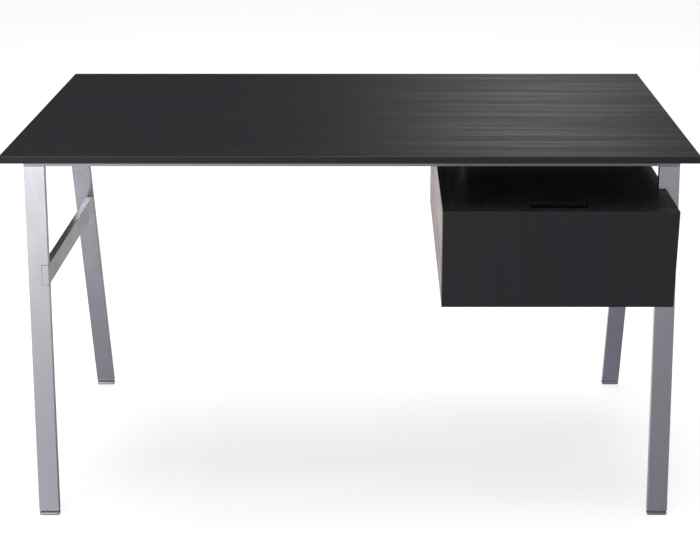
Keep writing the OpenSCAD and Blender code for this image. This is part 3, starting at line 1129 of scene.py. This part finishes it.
@dataclass
class SteelFrame:
    """The flat-bar A-frame: rails, legs, crossbars, tabs and their welds."""

    shop: Workshop
    arris: float = 0.6 * MM
    bar: float = 12.7 * MM
    lean: float = math.radians(8.9)
    body: str = "desk"

    def build(self) -> None:
        """Makes and dresses the frame's pieces."""
        for name in ("front_rail", "rear_rail"):
            self.shop.bar(name, Axis.X, self.arris)
        for name in ("left_side_rail", "right_side_rail", "hanger_rail"):
            self.shop.bar(name, Axis.Y, self.arris)
        for side in Side:
            self.shop.bar(f"{side.word}_crossbar", Axis.Y, self.arris)
            for end in End:
                self.shop.bar(f"{side.word}_{end.word}_leg", Axis.Z, self.arris)
        self.shop.bar("leg_end_plates", Axis.X, self.arris)
        self.shop.bar("fixing_tabs", Axis.X, self.arris)
        self.weld("rail_welds", self.rail_beads())
        self.weld("tab_welds", self.tab_beads())
        self.weld("left_crossbar_welds", self.crossbar_beads(Side.LEFT, all_round=True))
        self.weld("right_crossbar_welds", self.crossbar_beads(Side.RIGHT, all_round=False))

    def weld(self, name: str, beads: Iterable[Bead]) -> None:
        """Lays several beads as one piece.

        Args:
            name: The piece's name.
            beads: The beads.
        """
        material = WELD.material(name, Axis.Z)
        self.shop.made(name, [bead.skin() for bead in beads], self.body, FLAT_BAR.name, material)

    def rail_beads(self) -> list[Bead]:
        """Upright beads where the side rails and the hanger rail meet the front and rear rails."""
        beads = []
        for end in End:
            low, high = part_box(f"{end.word}_rail")
            inner_y = high.y if end is End.FRONT else low.y
            inward = Vector((0.0, -end.value, 0.0))
            corners = [(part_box("left_side_rail")[1].x, 1), (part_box("right_side_rail")[0].x, -1)]
            corners += [(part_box("hanger_rail")[0].x, -1), (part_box("hanger_rail")[1].x, 1)]
            for x, sign in corners:
                start, stop = Vector((x, inner_y, low.z)), Vector((x, inner_y, high.z - 5 * MM))
                beads.append(Bead(start, stop, inward, Vector((sign, 0.0, 0.0))))
        return beads

    def tab_beads(self) -> list[Bead]:
        """Beads under each fixing tab, along the rail that it is welded to."""
        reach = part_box("front_rail")[1].y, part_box("rear_rail")[0].y
        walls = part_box("left_side_rail")[1].x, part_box("right_side_rail")[0].x
        down = Vector((0.0, 0.0, -1.0))
        inset = 2 * MM
        beads = []
        for low, high in islands(self.shop.nodes["fixing_tabs"]):
            for wall, near, along in (
                (reach[0], low.y, Axis.X),
                (reach[1], high.y, Axis.X),
                (walls[0], low.x, Axis.Y),
                (walls[1], high.x, Axis.Y),
            ):
                if abs(wall - near) > 0.5 * MM:
                    continue
                start, stop = Vector(low), Vector((high.x, high.y, low.z))
                across = Axis.Y if along is Axis.X else Axis.X
                start[across.value] = stop[across.value] = wall
                start[along.value] += inset
                stop[along.value] -= inset
                inward = Vector((0.0, 0.0, 0.0))
                inward[across.value] = 1.0 if wall < 0.5 * (low + high)[across.value] else -1.0
                beads.append(Bead(start, stop, inward, down, leg=2.4 * MM))
        return beads

    def crossbar_beads(self, side: Side, all_round: bool) -> list[Bead]:
        """Beads where a crossbar meets the leaning faces of its two legs.

        Args:
            side: The crossbar's side.
            all_round: Whether there are beads over and under the crossbar too.

        Returns:
            The beads.
        """
        low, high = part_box(f"{side.word}_crossbar")
        outer_x, inner_x = (low.x, high.x) if side is Side.LEFT else (high.x, low.x)
        outward = Vector((side.value, 0.0, 0.0))
        beads = []
        for end in End:
            inward = Vector((0.0, -end.value, 0.0))
            up_leg = Vector((0.0, -end.value * math.sin(self.lean), math.cos(self.lean)))
            ends = [self.leg_face(side, end, z) for z in (low.z, high.z)]
            start, stop = (Vector((outer_x, y, z)) for y, z in zip(ends, (low.z, high.z)))
            square = inward - up_leg * inward.dot(up_leg)
            beads.append(Bead(start, stop, square.normalized(), outward))
            if all_round:
                for corner, along_leg in ((stop, up_leg), (start, -up_leg)):
                    far = Vector((inner_x, corner.y, corner.z))
                    beads.append(Bead(corner, far, inward, along_leg))
        return beads

    def leg_face(self, side: Side, end: End, z: float) -> float:
        """The Y of a leg's inner face at one height.

        Args:
            side: The leg's side.
            end: The leg's end.
            z: The height.

        Returns:
            The face's Y.
        """
        low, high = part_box(f"{side.word}_{end.word}_leg")
        foot_y = low.y if end is End.FRONT else high.y
        thickness = self.bar / math.cos(self.lean)
        return foot_y - end.value * ((z - low.z) * math.tan(self.lean) + thickness)


@dataclass
class LevellingFoot:
    """One levelling foot: a steel pad on a threaded stud, and the nylon glide under it."""

    shop: Workshop
    side: Side
    end: End
    pad: float = 4 * MM
    corner: float = 2.2 * MM
    arris: float = 0.6 * MM
    glide_arris: float = 0.5 * MM
    stud: Stud = Stud()

    @property
    def name(self) -> str:
        """The foot's name, which is its body's too."""
        return f"{self.side.word}_{self.end.word}_foot"

    def build(self) -> None:
        """Makes and dresses the foot's pieces."""
        low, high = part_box(self.name)
        middle = 0.5 * (low + high)
        pad_top = low.z + self.pad
        skins = [
            eased_plate(low, Vector((high.x, high.y, pad_top)), self.corner, self.arris),
            self.stud.skin(middle.x, middle.y, pad_top, high.z),
        ]
        piece = self.shop.made(
            f"{self.name}_threaded", skins, self.name, FLAT_BAR.name, FLAT_BAR.material(self.name, Axis.X)
        )
        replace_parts(piece, self.name)
        glide = self.name.replace("foot", "glide")
        low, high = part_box(glide)
        moulded = self.shop.made(
            f"{glide}_moulded",
            [eased_plate(low, high, self.corner, self.glide_arris)],
            self.name,
            NYLON.name,
            NYLON.material(glide),
        )
        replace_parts(moulded, glide)


def channel(web: float, half: float, reach: float, lip: float) -> tuple[Span, ...]:
    """The middle line of a channel with lips, in metres from millimetres.

    Args:
        web: The web's distance from the cabinet's wall.
        half: Half the channel's height.
        reach: Where the flanges end.
        lip: Where the lips end, from the channel's middle.

    Returns:
        The line's corners.
    """
    corners = ((reach, -lip), (reach, -half), (web, -half), (web, half), (reach, half), (reach, lip))
    return tuple((x * MM, z * MM) for x, z in corners)


@dataclass
class Cabinet:
    """The cabinet's boards, dowels, bumpers, and what carries it."""

    shop: Workshop
    arris: float = 0.8 * MM
    hanger_plate: float = 4 * MM

    def build(self) -> None:
        """Makes and dresses the cabinet's pieces."""
        for side in Side:
            self.shop.board(f"cabinet_{side.word}_panel", BLACK_STAIN, Axis.Y, Axis.X, self.arris)
        for name in ("top", "bottom"):
            self.shop.board(f"cabinet_{name}_panel", BLACK_STAIN, Axis.Y, Axis.Z, self.arris)
        self.shop.board("cabinet_back_panel", BLACK_STAIN, Axis.X, Axis.Y, self.arris)
        dowels = BEECH.material("cabinet_dowels", Axis.X, Axis.Z, self.shop.next_seed())
        dress(self.shop.nodes["cabinet_dowels"], dowels)
        self.shop.bar("cabinet_hangers", Axis.Y, self.arris)
        self.stick_bumpers()
        self.weld_hangers()
        for name in ("hanger_screws", "crossbar_screws"):
            self.shop.metal(name, ZINC)

    def stick_bumpers(self) -> None:
        """Sticks a soft dome in place of each plain bumper."""
        domes = [dome(low, high) for low, high in islands(self.shop.nodes["front_bumpers"])]
        piece = self.shop.made(
            "front_bumper_domes", domes, "desk", SILICONE.name, SILICONE.material("front_bumper_domes")
        )
        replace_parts(piece, "front_bumpers")

    def weld_hangers(self) -> None:
        """Lays a bead on each side of the two hanger straps, where they stand on their plates."""
        rail_low, rail_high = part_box("hanger_rail")
        up = Vector((0.0, 0.0, 1.0))
        beads = []
        for low, high in islands(self.shop.nodes["cabinet_hangers"]):
            floor = low.z + self.hanger_plate
            for x, sign in ((rail_low.x, -1), (rail_high.x, 1)):
                start, stop = Vector((x, low.y + 1 * MM, floor)), Vector((x, high.y - 1 * MM, floor))
                beads.append(Bead(start, stop, Vector((sign, 0.0, 0.0)), up, leg=2.6 * MM))
        material = WELD.material("hanger_welds", Axis.Z)
        self.shop.made("hanger_welds", [b.skin() for b in beads], "desk", FLAT_BAR.name, material)


@dataclass
class Slide:
    """One telescopic ball slide: three rolled members, and two cages of balls."""

    shop: Workshop
    side: Side
    cage_length: float = 200 * MM
    cage_margin: float = 8 * MM
    ball: float = 1.25 * MM
    ball_pitch: float = 12 * MM
    outer_ball: Span = (6.5 * MM, 20.0 * MM)
    inner_ball: Span = (8.3 * MM, 16.2 * MM)
    outer_strip: tuple[float, float, float] = (2.5 * MM, 14.0 * MM, 8.0 * MM)
    inner_strip: tuple[float, float, float] = (5.0 * MM, 10.0 * MM, 9.6 * MM)
    members: dict[str, RolledStrip] = field(
        default_factory=lambda: {
            "cabinet": RolledStrip(channel(0.6, 21.9, 9.0, 20.5)),
            "middle": RolledStrip(channel(4.0, 18.1, 10.6, 16.8)),
            "drawer": RolledStrip(channel(12.1, 14.3, 6.0, 15.5)),
        }
    )

    def build(self) -> None:
        """Makes and dresses the slide's members and cages."""
        low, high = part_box(f"{self.side.word}_slide_cabinet_member")
        web_x = low.x if self.side is Side.LEFT else high.x
        origin = Vector((web_x, 0.0, 0.5 * (low.z + high.z)))
        for name, strip in self.members.items():
            node = f"{self.side.word}_slide_{name}_member"
            front, rear = (corner.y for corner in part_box(node))
            skin = strip.skin(Vector((origin.x, front, origin.z)), -self.side.value, rear)
            piece = self.shop.made(
                f"{node}_rolled",
                [skin],
                self.shop.nodes[node]["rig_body"],
                SLIDE_STEEL.name,
                SLIDE_STEEL.material(node, Axis.Y),
            )
            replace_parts(piece, node)
        front, rear = (corner.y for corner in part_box(f"{self.side.word}_slide_middle_member"))
        reach = self.cage_length + self.cage_margin
        self.cage("outer", origin, rear - reach, self.outer_ball, self.outer_strip)
        self.cage("inner", origin, front + self.cage_margin, self.inner_ball, self.inner_strip)

    def cage(
        self, name: str, origin: Vector, front: float, ball: Span, strip: tuple[float, float, float]
    ) -> None:
        """Makes one cage: an angled strip above and below, each with a row of balls.

        Args:
            name: The cage's name.
            origin: The middle of the slide at the cabinet's wall.
            front: The cage's front end.
            ball: Each ball's distance from the wall and from the slide's middle.
            strip: The strip's distance from the wall, its start and its reach.
        """
        wall, start, reach = strip
        sign = -self.side.value
        skins = []
        count = int((self.cage_length - self.ball_pitch) / self.ball_pitch) + 1
        for half in (-1, 1):
            corners = ((wall, half * start), (wall, half * ball[1]), (reach, half * ball[1]))
            angle = RolledStrip(corners, thickness=0.45 * MM, bend=0.6 * MM)
            skins.append(angle.skin(Vector((origin.x, front, origin.z)), sign, front + self.cage_length))
            centres = [
                origin + Vector((sign * ball[0], front + self.ball_pitch * (k + 0.5), half * ball[1]))
                for k in range(count)
            ]
            skins += balls(centres, self.ball)
        piece = f"{self.side.word}_slide_{name}_cage"
        body = f"{self.side.word}_slide_middle"
        self.shop.made(piece, skins, body, SLIDE_STEEL.name, SLIDE_STEEL.material(piece, Axis.Y))


@dataclass
class Drawer:
    """The drawer's black front and its birch box."""

    shop: Workshop
    arris: float = 0.8 * MM
    bottom_arris: float = 0.3 * MM

    def build(self) -> None:
        """Makes and dresses the drawer's pieces."""
        self.shop.board("drawer_front", BLACK_STAIN, Axis.Z, Axis.Y, self.arris)
        for name in ("drawer_inner_front", "drawer_back"):
            self.shop.board(name, BIRCH, Axis.X, Axis.Y, self.arris)
        for side in Side:
            self.shop.board(f"drawer_{side.word}_side", BIRCH, Axis.Y, Axis.X, self.arris)
        self.shop.board("drawer_bottom", BIRCH, Axis.Y, Axis.Z, self.bottom_arris)
        dowels = BEECH.material("drawer_dowels", Axis.X, Axis.Z, self.shop.next_seed())
        dress(self.shop.nodes["drawer_dowels"], dowels)
        for name in ("drawer_front_screws", "slide_drawer_screws", "slide_cabinet_screws"):
            self.shop.metal(name, ZINC)


# ---- studio ----


@dataclass
class Lamp:
    """One soft square lamp."""

    name: str
    place: tuple[float, float, float]
    target: tuple[float, float, float]
    side: float
    power: float
    colour: Colour = WHITE

    def build(self) -> None:
        """Hangs the lamp."""
        data = bpy.data.lights.new(self.name, "AREA")
        data.shape = "SQUARE"
        data.size = self.side
        data.energy = self.power
        data.color = self.colour
        lamp = bpy.data.objects.new(self.name, data)
        lamp.location = self.place
        aim = Vector(self.target) - Vector(self.place)
        lamp.rotation_euler = aim.to_track_quat("-Z", "Y").to_euler()
        bpy.context.scene.collection.objects.link(lamp)


@dataclass
class Glow:
    """A soft patch of brightness in the studio's surroundings."""

    towards: tuple[float, float, float]
    focus: float
    strength: float
    colour: Colour = WHITE


def side_boxes(turns: Iterable[float], focus: float, strength: float) -> list[Glow]:
    """Pairs of soft glows at the height of the desk, to its left and right.

    Args:
        turns: How far each pair is turned from straight behind the desk, in degrees.
        focus: How narrow each glow is.
        strength: How bright each glow is.

    Returns:
        The glows.
    """
    glows = []
    for turn in turns:
        for side in Side:
            towards = (side.value * math.sin(math.radians(turn)), math.cos(math.radians(turn)), 0.04)
            glows.append(Glow(towards, focus, strength))
    return glows


@dataclass
class Studio:
    """A pale floor, soft light and the camera."""

    floor_radius: float = 40.0
    floor_tone: Colour = (0.80, 0.80, 0.81)
    camera_place: tuple[float, float, float] = (0.055, -2.488, 1.416)
    camera_dip: float = math.radians(18.61)
    lens: float = 67.78
    shift: tuple[float, float] = (-0.0451, -0.12)
    ambient: Colour = (0.057, 0.0555, 0.065)
    backdrop: float = 1.0
    floor_glow: float = 0.69
    glows: list[Glow] = field(
        default_factory=lambda: [
            Glow((-0.30, -0.93, 0.20), 60.0, 4.4),
            Glow((0.10, -0.96, 0.25), 14.0, 0.45),
            Glow((-0.50, -0.80, -0.35), 20.0, 0.60),
            Glow((-0.28, -0.83, -0.48), 90.0, 0.80),
            Glow((-0.10, -0.90, -0.45), 4.0, 0.17, (0.88, 0.88, 1.10)),
            Glow((0.28, -0.60, -0.72), 14.0, 0.12, (0.90, 0.95, 1.08)),
            Glow((0.12, 0.96, 0.27), 260.0, 1.15, (1.04, 0.97, 1.0)),
            Glow((-0.14, 0.92, -0.36), 60.0, 1.45, (1.09, 0.97, 0.93)),
            Glow((0.27, 0.90, -0.34), 60.0, 0.45, (1.03, 1.0, 0.97)),
            Glow((0.0, 0.0, 1.0), 3.0, 0.25),
            *side_boxes((60.0, 95.0, 130.0), focus=14.0, strength=0.62),
        ]
    )
    lamps: list[Lamp] = field(
        default_factory=lambda: [
            Lamp("overhead_lamp", (-0.4, 0.2, 3.6), (0.0, 0.2, 0.0), 3.0, 75.0),
        ]
    )

    def build(self) -> None:
        """Sets up the floor, the light and the camera."""
        self.lay_floor()
        self.light_surroundings()
        for lamp in self.lamps:
            lamp.build()
        self.place_camera()

    def lay_floor(self) -> None:
        """Lays the pale floor."""
        work = bmesh.new()
        bmesh.ops.create_circle(work, cap_ends=True, segments=96, radius=self.floor_radius)
        mesh = from_bmesh(work)
        mesh.materials.append(self.floor_material())
        floor = bpy.data.objects.new("floor", mesh)
        floor.visible_glossy = False
        bpy.context.scene.collection.objects.link(floor)

    def floor_material(self) -> bpy.types.Material:
        """The floor's finish: matt and pale.

        Returns:
            The material.
        """
        sheet = NodeSheet("pale_floor")
        x, y, z = sheet.places()
        speckle = sheet.ranged(sheet.noise(sheet.joined(x, y, z), 6.0, 4.0), 0.3, 0.7)
        sheet.shade(
            Base_Color=sheet.mixed(speckle, tuple(0.98 * c for c in self.floor_tone), self.floor_tone),
            Roughness=0.8,
            Specular_IOR_Level=0.0,
            Emission_Color=WHITE,
            Emission_Strength=self.floor_glow,
        )
        return sheet.material

    def light_surroundings(self) -> None:
        """Gives the studio's walls and ceiling their brightness, plain where the camera sees them."""
        world = bpy.data.worlds.new("studio")
        world.use_nodes = True
        tree = world.node_tree
        tree.nodes.clear()
        where = tree.nodes.new("ShaderNodeTexCoord")
        total: Socket | None = None
        for glow in self.glows:
            total = self.add_glow(tree, where.outputs["Generated"], glow, total)
        lit = tree.nodes.new("ShaderNodeBackground")
        tree.links.new(total, lit.inputs["Color"])
        plain = tree.nodes.new("ShaderNodeBackground")
        plain.inputs["Strength"].default_value = self.backdrop
        plain.inputs["Color"].default_value = (*WHITE, 1.0)
        path = tree.nodes.new("ShaderNodeLightPath")
        mix = tree.nodes.new("ShaderNodeMixShader")
        output = tree.nodes.new("ShaderNodeOutputWorld")
        tree.links.new(path.outputs["Is Camera Ray"], mix.inputs[0])
        tree.links.new(lit.outputs[0], mix.inputs[1])
        tree.links.new(plain.outputs[0], mix.inputs[2])
        tree.links.new(mix.outputs[0], output.inputs["Surface"])
        bpy.context.scene.world = world

    def add_glow(
        self, tree: bpy.types.NodeTree, direction: Socket, glow: Glow, total: Socket | None
    ) -> Socket:
        """Adds one bright patch to the surroundings.

        Args:
            tree: The world's nodes.
            direction: The direction seen.
            glow: The patch.
            total: The patches so far, or None to start from the plain surroundings.

        Returns:
            The patches with this one.
        """
        dot = tree.nodes.new("ShaderNodeVectorMath")
        dot.operation = "DOT_PRODUCT"
        tree.links.new(direction, dot.inputs[0])
        dot.inputs[1].default_value = Vector(glow.towards).normalized()
        value = dot.outputs["Value"]
        for operation, number in (("MAXIMUM", 0.0), ("POWER", glow.focus)):
            node = tree.nodes.new("ShaderNodeMath")
            node.operation = operation
            tree.links.new(value, node.inputs[0])
            node.inputs[1].default_value = number
            value = node.outputs[0]
        added = tree.nodes.new("ShaderNodeVectorMath")
        added.operation = "MULTIPLY_ADD"
        tree.links.new(value, added.inputs[0])
        added.inputs[1].default_value = [glow.strength * c for c in glow.colour]
        if total is None:
            added.inputs[2].default_value = self.ambient
        else:
            tree.links.new(total, added.inputs[2])
        return added.outputs["Vector"]

    def place_camera(self) -> None:
        """Places the camera at the standing viewer's eye."""
        data = bpy.data.cameras.new("camera")
        data.lens = self.lens
        data.sensor_width = 36.0
        data.shift_x, data.shift_y = self.shift
        data.clip_end = 200.0
        camera = bpy.data.objects.new("camera", data)
        camera.location = self.camera_place
        camera.rotation_euler = (math.pi / 2 - self.camera_dip, 0.0, 0.0)
        scene = bpy.context.scene
        scene.collection.objects.link(camera)
        scene.camera = camera
        scene.view_settings.view_transform = "Standard"


def main() -> None:
    """Loads the frame, builds every sub-assembly and sets up the studio."""
    logging.basicConfig(level=logging.INFO, format="%(message)s")
    shop = Workshop(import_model())
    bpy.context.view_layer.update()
    parts = [Desktop(shop), SteelFrame(shop)]
    parts += [LevellingFoot(shop, side, end) for side in Side for end in End]
    parts += [Cabinet(shop), Slide(shop, Side.LEFT), Slide(shop, Side.RIGHT), Drawer(shop)]
    for part in parts:
        part.build()
    Studio().build()


if __name__ == "__main__":
    main()
